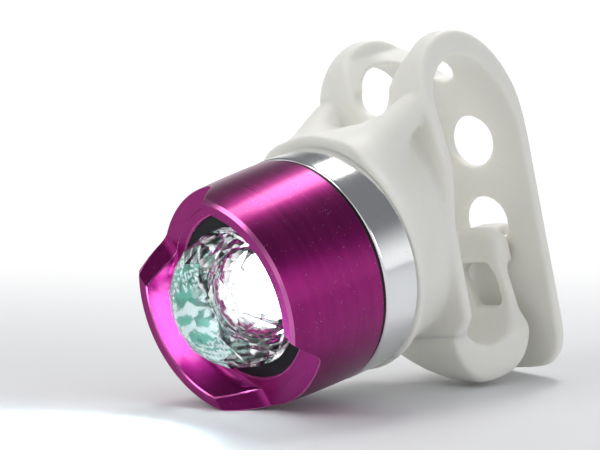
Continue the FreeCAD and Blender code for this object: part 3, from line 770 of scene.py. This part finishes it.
def crown(last, rows=14):
    """From the last ring's edges to the tip: rows on the ellipsoid, which round off as they climb."""
    start = LATITUDES[-1]
    latitude = start + (math.pi / 2 - start) * np.linspace(0, 1, rows + 1)[1:-1, None] ** 0.85
    ellipsoid = on_dome(latitude, np.arange(FACETS * SPLIT) / SPLIT, len(LATITUDES) - 1)
    edge = split_ring(last)
    flat = np.hypot(*edge[:, [0, 2]].T) / (LENS_RADIUS * math.cos(start))
    fade = np.linspace(1, 0, rows - 1)[:, None] ** 5
    ellipsoid[..., [0, 2]] *= (1 + (flat - 1) * fade)[..., None]
    return ellipsoid


def fan(centre, ring, turned_over=False):
    """Triangles from one point to each edge of a ring."""
    faces = np.stack([np.full_like(ring, centre), ring, np.roll(ring, -1)], axis=-1)
    return faces[:, ::-1] if turned_over else faces


def bands(start, rows, columns):
    """The quads between rows of points, each as two triangles."""
    quads = grid_faces(rows, columns, closed=False) + start
    return np.vstack([quads[:, [0, 3, 2]], quads[:, [0, 2, 1]]])


def on_edges(ring, step, far, far_step, ahead):
    """Triangles from each short edge of one ring to the corner of the far ring that it looks at."""
    facet = np.arange(FACETS)[:, None]
    place = facet * step + np.arange(step)
    apex = far + (facet + ahead) % FACETS * far_step + 0 * place
    return np.stack([ring + place, ring + (place + 1) % (FACETS * step), apex], axis=-1).reshape(-1, 3)


def facet_row(outer, outer_step, inner, inner_step, ahead):
    """The zigzag between two rings: triangles on the outer ring's edges, then on the inner ring's."""
    rising = on_edges(outer, outer_step, inner, inner_step, ahead)[:, ::-1]
    return np.vstack([rising, on_edges(inner, inner_step, outer, outer_step, 1 - ahead)])


def make_lens():
    """Join barrel, facets and crown, with triangles numbered from the rings' own counts."""
    rings = [on_dome(latitude, np.arange(FACETS), row) for row, latitude in enumerate(LATITUDES)]
    many = FACETS * SPLIT
    profile = np.vstack([arc((0, LENS_BACK), RECESS, -80, -10, 9), LENS_SIDE])
    barrel = [*carried_round(profile, many), split_ring(rings[0])]
    top = crown(rings[-1])
    blocks = [[(0, LENS_BACK - RECESS, 0)], *barrel, *rings[1:-1], split_ring(rings[-1]),
              top.reshape(-1, 3), [(0, BARREL_FRONT - DOME, 0)]]
    first = 1 + (len(barrel) - 1) * many
    starts = [first, *(first + many + FACETS * np.arange(len(rings) - 1))]
    faces = [fan(0, 1 + np.arange(many)), bands(1, len(barrel), many)]
    steps = [SPLIT] + [1] * (len(rings) - 2) + [SPLIT]
    for row in range(len(rings) - 1):
        faces.append(facet_row(starts[row], steps[row], starts[row + 1], steps[row + 1], row % 2))
    faces.append(bands(starts[-1], len(top) + 1, many))
    tip = starts[-1] + (len(top) + 1) * many
    faces.append(fan(tip, tip - many + np.arange(many), turned_over=True))
    return np.vstack(blocks), np.vstack(faces)


lens_points, lens_faces = make_lens()
lens_mesh = make_mesh("faceted_lens", from_lamp(lens_points), lens_faces, sharp=7)
add_piece(lens_mesh, clear, "lens_module", "clear", "lens")

# %% [markdown]
# The LED sits in a round hollow in the lens's back, and the hollow is frosted, so
# that what the eye meets is not a point but a small glowing dome. It is made as a
# thin shell just inside the hollow: a half circle carried round the axis, closed by
# a flat back.

# %% The frosted hollow
HOLLOW = 4.4
HOLLOW_BACK = LENS_BACK - 0.02
HOLLOW_COLUMNS = 72
hollow_profile = np.vstack([[(0.0, HOLLOW_BACK), (HOLLOW, HOLLOW_BACK)],
                            arc((0, HOLLOW_BACK), HOLLOW, -5, -90, 18)])
hollow_points = from_lamp(carried_round(hollow_profile, HOLLOW_COLUMNS))
hollow_faces = grid_faces(len(hollow_profile), HOLLOW_COLUMNS, closed=False)
hollow_mesh = make_mesh("lit_hollow", hollow_points, hollow_faces)
weld = bmesh.new()
weld.from_mesh(hollow_mesh)
bmesh.ops.remove_doubles(weld, verts=weld.verts, dist=1e-6)
weld.to_mesh(hollow_mesh)
weld.free()
add_piece(hollow_mesh, halo, "lens_module", "led")

# %% [markdown]
# The strap is a soft moulding: every edge is round and every part flows into the
# next. Meshes drawn part by part would meet in hard lines, so it is made as a
# signed distance: a number for each point of space, negative in the rubber. Two
# shapes join with a round fillet, or cut each other with a round edge, by formulas
# on those numbers. The surface is where the number is nought.

# %% Distances that join and cut softly
CELL = 0.3
cells_x = np.arange(-53, 54) * CELL
cells_y = np.arange(-43, 67) * CELL
cells_z = np.arange(-80, 89) * CELL
loop_x, loop_y, loop_z = np.meshgrid(cells_x, cells_y, cells_z, indexing="ij", sparse=True)


def join(a, b, radius):
    """The union with a fillet: max(r, min(a, b)) - |(max(r - a, 0), max(r - b, 0))|."""
    corner = np.hypot(np.maximum(radius - a, 0), np.maximum(radius - b, 0))
    return np.maximum(radius, np.minimum(a, b)) - corner


def meet(a, b, radius):
    """The overlap with a round edge: the union formula with every sign turned."""
    return -join(-a, -b, radius)


def outline_distance(corners, u, v):
    """Signed distance to a closed outline: the least |w - e clip(w.e / e.e, 0, 1)| over its edges e."""
    start = np.array(corners, float)
    edge = np.roll(start, -1, axis=0) - start
    w = np.stack([u - 0 * v, v - 0 * u], axis=-1)[..., None, :] - start
    along = np.clip((w * edge).sum(-1) / np.maximum((edge * edge).sum(-1), 1e-9), 0, 1)
    distance = np.linalg.norm(w - edge * along[..., None], axis=-1).min(-1)
    rising = (w[..., 1] < 0) != (w[..., 1] < edge[:, 1])
    slope = edge[:, 0] / np.where(edge[:, 1] == 0, 1e-9, edge[:, 1])
    crossings = (rising & (w[..., 0] < w[..., 1] * slope)).sum(-1)
    return np.where(crossings % 2 == 1, -distance, distance)


def rounded(*corners):
    """An outline from (u, v, radius) corners, each bent along a parabola that touches both sides."""
    places = np.array([corner[:2] for corner in corners], float)
    outline = []
    for index, (here, (_, _, radius)) in enumerate(zip(places, corners)):
        before, after = places[index - 1] - here, places[(index + 1) % len(corners)] - here
        cosine = before @ after / (np.linalg.norm(before) * np.linalg.norm(after))
        reach = radius / max(math.tan(math.acos(np.clip(cosine, -1, 1)) / 2), 0.05)
        first, last = (here + unit(way) * min(reach, np.linalg.norm(way) * 0.49) for way in (before, after))
        outline.append(parabola(first, here, last))
    return np.vstack(outline)


def from_front(outline):
    """Signed distance to an outline seen from the front, the same at every depth."""
    return outline_distance(outline, loop_x[:, 0], loop_z[0])[:, None]


print("grid of", loop_x.size, "x", loop_y.size, "x", loop_z.size, "points")

# %% [markdown]
# Seen from its side the loop is one ribbon: up the plate, over the crest, down the
# tail; and from the plate's foot round the thick turn and up the tongue. Seen from
# the front it has outlines: the plate's, the tail's, and the hook's. All are drawn
# from arcs, straights and rounded corners (x, z, radius). Most sizes are the CAD
# model's; the plate's width, the turn and the tongue are fitted to the photograph.

# %% The loop's side and front outlines
BEND, BEND_INSIDE = 7.5, 5.9
TURN_HEIGHT = -14.95
TURN_BOTTOM = -22.45
TONGUE_TOP = -2.9
TAIL_END = -23.3
FILL = 3.6
side_outline = np.vstack([
    [(2 * BEND, TONGUE_TOP)], arc((BEND, TURN_HEIGHT), BEND, 0, -180, 40),
    arc((BEND, 17.8), BEND, 180, 90, 20), arc((BEND, 15.8), 9.5, 90, 45, 12),
    arc((3.64, 11.94), 14.96, 45, 0, 14), [(18.6, TAIL_END), (17.0, TAIL_END)],
    arc((2.67, 9.37), 14.33, 0, 45, 14), arc((BEND, 14.2), BEND, 45, 90, 12),
    arc((BEND, 15.8), BEND_INSIDE, 90, 180, 20),
    arc((BEND, TURN_HEIGHT + FILL), BEND_INSIDE, 180, 360, 40), [(13.4, TONGUE_TOP)]])
side_view = outline_distance(side_outline, loop_y[0], loop_z[0])[None]

CREST = [(8.8, 25.3, 0.1), (8.8, 30.0, 0.1), (-8.8, 30.0, 0.1), (-8.8, 25.3, 0.1)]
TURN_START = [(3.6, TURN_BOTTOM, 2.6), (7.4, TURN_BOTTOM, 3.4)]
TURN_END = (-1.0, TURN_BOTTOM + 3.0, 3.0)
front_view = from_front(rounded(
    *TURN_START, (7.4, TURN_HEIGHT, 1.5), (10.2, TURN_HEIGHT + 2.8, 2.0),
    (10.2, 0.0, 3.0), (11.8, 8.0, 4.0), (10.4, 17.8, 3.0), *CREST,
    (-10.4, 17.8, 3.0), (-11.8, 8.0, 4.0), (-10.2, 0.0, 3.0), (-10.2, -12.45, 2.5), TURN_END))
rear_view = from_front(rounded(
    (10.0, TAIL_END, 6.5), (9.9, 9.2, 3.0), *CREST, (-9.5, 9.2, 3.0), (-9.5, TAIL_END, 6.5)))
hook_view = from_front(rounded(
    *TURN_START, (7.4, -16.6, 2.4), (5.9, -14.2, 2.0), (4.9, -8.0, 3.0), (4.8, TONGUE_TOP, 4.7),
    (-4.8, TONGUE_TOP, 4.7), (-4.8, -13.8, 1.6), (-7.0, -14.9, 1.2), TURN_END))


def climb(value, low, high):
    """Nought below low, one above high, 3 t t - 2 t t t between."""
    t = np.clip((value - low) / (high - low), 0, 1)
    return t * t * (3 - 2 * t)


to_rear = climb(loop_y, 5.5, 9.5)
print("side outline has", len(side_outline), "corners")

# %% [markdown]
# Under the plate a pedestal stands on a round collar, which hugs the back of the
# cup. Its sections are ellipses that shrink quickly at the foot, then slowly; a
# parabola through three of them gives their half axes. On each side a web runs
# from the collar up to the crest's arms. The anchor plate and its screw have their
# own pocket inside.

# %% Pedestal, collar and ridges
COLLAR, COLLAR_MIDDLE = 15.35, 6.95
PLATE_POCKET, SCREW_POCKET, PLATE_MIDDLE = 6.3, 1.6, 9.6
PEDESTAL_TOP = 18.6
RIDGES, RIDGE_RADIUS, RIDGE_REACH = (-11.0, 9.0), 2.4, 8.6
STATIONS = (CUP_BACK, 12.125, 18.8)
lean = turn(0, -STRAP_LEAN)
station = loop_y * lean[1, 1] + loop_z * lean[2, 1] + PEDESTAL
upright = loop_y * lean[1, 2] + loop_z * lean[2, 2]


def through(values):
    """The parabola through one value at each of the three stations, by Lagrange's formula."""
    a, b, c = STATIONS
    y = np.clip(station, a, c)
    shares = ((y - b) * (y - c) / ((a - b) * (a - c)), (y - a) * (y - c) / ((b - a) * (b - c)),
              (y - a) * (y - b) / ((c - a) * (c - b)))
    return sum(value * share for value, share in zip(values, shares))


def ellipse_distance(half_width, half_height, lift):
    """About k (k - 1) / g, where k = |(x / a, z / b)| and g = |(x / aa, z / bb)|."""
    z = upright - lift
    k = np.hypot(loop_x / half_width, z / half_height)
    g = np.hypot(loop_x / half_width ** 2, z / half_height ** 2)
    return k * (k - 1) / np.maximum(g, 0.01)


def web(foot, top, foot_radius, top_radius):
    """A tapered rod on both sides: the distance to the line foot to top, less the radius along it."""
    line = np.array(top) - np.array(foot)
    x, y, z = np.abs(loop_x) - foot[0], station - foot[1], upright - foot[2]
    t = np.clip((x * line[0] + y * line[1] + z * line[2]) / (line @ line), 0, 1)
    gap = np.sqrt((x - t * line[0]) ** 2 + (y - t * line[1]) ** 2 + (z - t * line[2]) ** 2)
    return gap - (foot_radius + t * (top_radius - foot_radius))


pedestal = ellipse_distance(
    through((COLLAR, 12.0, 10.0)), through((15.97, 15.1, 14.4)), through((0.6, 0.8, 0.8)))
pedestal = meet(pedestal, station - PEDESTAL_TOP, 0.2)
pedestal = join(pedestal, web((6.5, 9.5, 11.8), (8.0, 18.2, 16.2), 3.0, 2.1), 3.0)
from_lamp_axis = np.hypot(loop_x, upright)
collar = meet(from_lamp_axis - COLLAR, np.abs(station - COLLAR_MIDDLE) - 0.7, 0.45)
base = meet(join(pedestal, collar, 0.8), CUP_BACK + 0.03 - station, 0.25)
pocket = np.maximum(from_lamp_axis - PLATE_POCKET, np.abs(station - PLATE_MIDDLE) - 1.0)
screw_hole = np.maximum(from_lamp_axis - SCREW_POCKET, station - PLATE_MIDDLE)
ridges = np.minimum(*(np.hypot(loop_y - 1.0, loop_z - level) for level in RIDGES)) - RIDGE_RADIUS
ridges = meet(np.maximum(ridges, 0.4 - loop_y), np.abs(loop_x) - RIDGE_REACH, 1.2)


def moulding(outline, edge=0.62):
    """The ribbon within an outline, with its ridges, pedestal and collar joined on."""
    shape = meet(side_view, outline, edge)
    shape = join(join(shape, ridges, 0.5), base, 1.1)
    return np.maximum(shape, -np.minimum(pocket, screw_hole))


strap_field = moulding(front_view + (rear_view - front_view) * to_rear)
print("rubber cells:", int((strap_field < 0).sum()))

# %% [markdown]
# The crest is slotted from the plate over to the tail, so that it bends easily, and
# the tail has two oval holes for the hook's knob. The tongue of the hook has a
# window, and a thick round head with the knob behind it.

# %% Slot, holes and hook
BEHIND_PLATE, BEFORE_TAIL = 8.0, 16.2
HOLES = (9.0, -2.4)
HOLE_WIDTH, HOLE_HEIGHT = 4.05, 3.55
HEAD_MIDDLE, HEAD_HALF, HEAD_FOOT = 15.0, 1.6, -7.9
KNOB_MIDDLE, KNOB_HALF, KNOB_HEIGHT, KNOB_REACH, KNOB_RADIUS = 16.9, 2.4, -3.8, 1.8, 0.9


def slot_view(foot):
    """The slot's outline: a round foot of half width 3.4, widening to 6 at the crest."""
    top = [(6.0, 23.5), (6.0, 32.0), (-6.0, 32.0), (-6.0, 23.5)]
    return from_front(np.vstack([arc((0, foot), 3.4, 180, 360, 24), top]))


crest_slot = slot_view(19.1) + (slot_view(21.4) - slot_view(19.1)) * to_rear
crest_slot = np.maximum(crest_slot, -2.0 - loop_y)
strap_field = meet(strap_field, -crest_slot, 0.5)
for hole in HOLES:
    k = np.hypot(loop_x / HOLE_WIDTH, (loop_z - hole) / HOLE_HEIGHT)
    oval = np.maximum((k - 1) * 3.7, 12.0 - loop_y)
    strap_field = meet(strap_field, -oval, 0.45)
of_the_hook = (loop_y > BEND) & (loop_y < BEFORE_TAIL) & (loop_z < 0)
strap_field = np.where(of_the_hook, 1.0, strap_field)

hook_field = moulding(front_view + (hook_view - front_view) * to_rear, 0.7)
of_the_strap = (loop_y > 16.0) | ((loop_y < BEND) & (loop_z > -12.9)) | (loop_z > 0)
hook_field = np.where(of_the_strap, 1.0, hook_field)
head_depth = np.maximum(np.abs(loop_y - HEAD_MIDDLE) - HEAD_HALF, HEAD_FOOT - loop_z)
hook_field = join(hook_field, meet(head_depth, hook_view, 1.3), 1.4)
knob = np.hypot(np.maximum(np.abs(loop_x) - KNOB_REACH, 0), loop_z - KNOB_HEIGHT) - KNOB_RADIUS
hook_field = join(hook_field, meet(knob, np.abs(loop_y - KNOB_MIDDLE) - KNOB_HALF, 0.4), 0.3)
window = from_front(rounded((-1.0, -13.5, 1.1), (4.1, -13.5, 1.1), (3.1, -7.3, 1.3), (-3.0, -7.3, 1.3)))
hook_field = meet(hook_field, -np.maximum(window, 11.0 - loop_y), 0.5)
print("hook cells:", int((hook_field < 0).sum()))

# %% [markdown]
# To turn the numbers into a surface, each grid cell that the surface passes through
# gets one point, the mean of where it crosses the cell's edges, and each crossed
# edge gets one quad between the four cells round it. That is a surface net. One
# pass of smoothing takes off the last trace of the grid.

# %% From distances to a surface
ROUND_AN_EDGE = ((0, 0), (1, 0), (1, 1), (0, 1))


def cell_beside(corner, axis, step):
    """The cells that lie a step back from corners along the two axes after the given one."""
    cell = corner.copy()
    cell[:, [(axis + 1) % 3, (axis + 2) % 3]] -= step
    return cell


def surface_net(field):
    """Points in grid units, and quads, of the surface where the field is nought."""
    inside = field < 0
    shape = np.array(field.shape) - 1
    total = np.zeros((*shape, 3))
    count = np.zeros(shape)
    edges = []
    for axis in range(3):
        low = np.moveaxis(field, axis, 0)[:-1]
        high = np.moveaxis(field, axis, 0)[1:]
        crossed = np.argwhere((low < 0) != (high < 0))
        at = tuple(crossed.T)
        corner = np.insert(crossed[:, 1:], axis, crossed[:, 0], axis=1)
        edges.append((axis, corner))
        place = corner.astype(float)
        place[:, axis] += low[at] / (low[at] - high[at])
        for step in ROUND_AN_EDGE:
            cell = cell_beside(corner, axis, step)
            good = ((cell >= 0) & (cell < shape)).all(axis=1)
            np.add.at(total, tuple(cell[good].T), place[good])
            np.add.at(count, tuple(cell[good].T), 1)
    number = np.full(shape, -1)
    used = count > 0
    number[used] = np.arange(used.sum())
    points = total[used] / count[used][:, None]
    quads = []
    for axis, corner in edges:
        ring = [number[tuple(cell_beside(corner, axis, step).T)] for step in ROUND_AN_EDGE]
        ring = np.stack(ring, axis=-1)
        starts_inside = inside[tuple(corner.T)]
        quads.append(np.where(starts_inside[:, None], ring, ring[:, ::-1]))
    return points, np.vstack(quads)


def smoothed(points, quads):
    """Each point moves to the mean of the middles of the quads round it."""
    middles = points[quads].mean(axis=1)
    total, count = np.zeros_like(points), np.zeros(len(points))
    for corner in quads.T:
        np.add.at(total, corner, middles)
        np.add.at(count, corner, 1)
    return total / count[:, None]


CUT = -14.5


def cut_across(mesh, keep_below):
    """Cut the plate's foot level at CUT, take off one side, and fill the cut."""
    normal = unit(from_loop([0, 0, 1]) - from_loop([0, 0, 0])) * (1 if keep_below else -1)
    tongue, tail = from_loop([0, BEHIND_PLATE, CUT]), from_loop([0, BEFORE_TAIL, CUT])
    along = unit(tail - tongue)
    limit = (tongue if keep_below else tail) @ along
    block = bmesh.new()
    block.from_mesh(mesh)
    part = [face for face in block.faces if np.array(face.calc_center_median()) @ along < limit]
    part_edges = dict.fromkeys(edge for face in part for edge in face.edges)
    part_points = dict.fromkeys(point for face in part for point in face.verts)
    bmesh.ops.bisect_plane(
        block, geom=[*part_points, *part_edges, *part], plane_co=from_loop([0, 0, CUT]).tolist(),
        plane_no=normal.tolist(), clear_outer=True)
    rim = [edge for edge in block.edges if edge.is_boundary]
    bmesh.ops.holes_fill(block, edges=rim)
    block.to_mesh(mesh)
    block.free()
    shade(mesh, 50)
    print(mesh.name, "cut with", len(rim), "edges round the cut")
    return mesh


def make_rubber(name, field, keep_below):
    """The surface net of a field, smoothed, set in the loop's frame and cut."""
    points, quads = surface_net(field)
    points = smoothed(points, quads)
    places = points * CELL + np.array([cells_x[0], cells_y[0], cells_z[0]])
    return cut_across(make_mesh(name, from_loop(places), quads, sharp=50), keep_below)


strap = add_piece(make_rubber("silicone_strap", strap_field, False), silicone, None, "silicone",
                  "strap_base", "strap_tail")
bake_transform(strap)
add_piece(make_rubber("silicone_hook", hook_field, True), silicone, "head", "silicone")

# %% [markdown]
# The table is a plain pale sheet that runs back into a lit white backdrop. The
# room looks white, with a greyer ceiling, to the camera and in metal and glass; the
# light that it throws on the lamp is dimmer, so that the lamp keeps its shading.

# %% The table and the room
FLOOR_SIZE = 4.0
GLOW_START, GLOW_END = 20.0, 210.0
CARD = (0.78, 0.785, 0.79), (0.81, 0.815, 0.82)
SPENT = (0.05, 0.05, 0.05)
WHITE = (1.0, 1.0, 1.0)
CEILING = (0.20, 0.205, 0.215)
DIM_ROOM = (0.14, 0.145, 0.155), (0.62, 0.63, 0.66)
toward = unit(-back * np.array([1, 1, 0]))


def seen(wire):
    """One for rays from the camera and those that metal and glass pass on, nought for light on its way."""
    kinds = ("Is Camera Ray", "Is Glossy Ray", "Is Transmission Ray")
    return sum(wire.plug("LightPath", take=kind) for kind in kinds).step(0.0, 1.0)


def floor_recipe(place):
    """Matt white card that takes on a glow with its distance behind the lamp, which is place . away."""
    fibre = noise(place, 3.0, 4.0)
    away = {0: place, 1: LAMP_AXES @ toward}
    distance = place.plug("VectorMath", {"operation": "DOT_PRODUCT"}, away, "Value")
    glow = distance.step(GLOW_START, GLOW_END) * seen(place)
    return dict(
        Base_Color=glow.mix(fibre.mix(*CARD), SPENT),
        Roughness=fibre.between(0.55, 0.7), Specular_IOR_Level=0.2,
        Emission_Color=glow.mix((0, 0, 0), WHITE), Emission_Strength=1.0)


floor_mesh = bpy.data.meshes.new("floor")
floor_corners = [(FLOOR_SIZE * x, FLOOR_SIZE * y, 0) for x, y in ((-1, -1), (1, -1), (1, 1), (-1, 1))]
floor_mesh.from_pydata(floor_corners, [], [(0, 1, 2, 3)])
floor_mesh.materials.append(make_finish("white_card", floor_recipe))
floor = put("floor", floor_mesh)

world = bpy.data.worlds.new("room")
bpy.context.scene.world = world
world.use_nodes = True
room = Wire(world.node_tree)
rise = room.plug("TexCoord", take="Generated").parts()[2]
backdrop = rise.step(0.10, 0.55).mix(WHITE, CEILING)
studio = rise.step(-0.2, 0.9).mix(*DIM_ROOM)
room.feed(world.node_tree.nodes["Background"].inputs["Color"], seen(room).mix(studio, backdrop))
world.node_tree.nodes["Background"].inputs["Strength"].default_value = 1.0
bpy.context.scene.view_settings.view_transform = "Standard"

# %% [markdown]
# A soft key hangs behind the lamp and above it, and two weaker ones fill from the
# left and the right. The lamp is on, so it throws a faint pool of bluish light in
# front of itself; a spot in front of the lens, aimed along the axis, stands for it.

# %% The lights
beside_camera = right * np.array([1, 1, 0])
KEY_DIRECTION = (0.0, 0.647, 0.762)
AREA_LIGHTS = {  # place from the lamp's middle (m), width and height (m), watts, tint
    "key": (0.55 * (np.array(KEY_DIRECTION) @ LAMP_AXES), 0.14, 0.30, 1.1, (1.0, 0.99, 0.97)),
    "left": (toward * -0.25 + beside_camera * -0.45 + (0, 0, 0.40), 0.30, 0.30, 0.9, (1.0, 0.99, 0.97)),
    "fill": (toward * -0.5 + beside_camera * 0.55 + (0, 0, 0.25), 0.4, 0.3, 0.7, (0.95, 0.97, 1.0))}
BEAM_WATTS = 0.095
BEAM_TINT = (0.68, 0.86, 1.0)
BEAM_ANGLE = math.radians(160)
BEAM_WIDTH = 0.006
BEAM_FRONT = -22.6
middle = np.array((cad_box[0] + cad_box[1]) / 2)


def add_area(name, offset, width, height, watts, tint):
    """A soft rectangular light at an offset from the lamp's middle, facing it."""
    light = bpy.data.lights.new(name, "AREA")
    light.shape = "RECTANGLE"
    light.size = width
    light.size_y = height
    light.energy = watts
    light.color = tint
    aim = unit(offset)
    beside = unit(np.cross([0, 0, 1], aim))
    lamp = put(name, light, [beside, np.cross(aim, beside), aim], middle + offset)


for name, values in AREA_LIGHTS.items():
    add_area(name, *values)

beam = bpy.data.lights.new("beam", "SPOT")
beam.energy = BEAM_WATTS
beam.color = BEAM_TINT
beam.spot_size = BEAM_ANGLE
beam.spot_blend = 1.0
beam.shadow_soft_size = BEAM_WIDTH
beam_lamp = put("beam", beam, [lamp_z, lamp_x, lamp_y], from_lamp([0, BEAM_FRONT, 0]))
print("lights:", ", ".join([*AREA_LIGHTS, "beam"]))
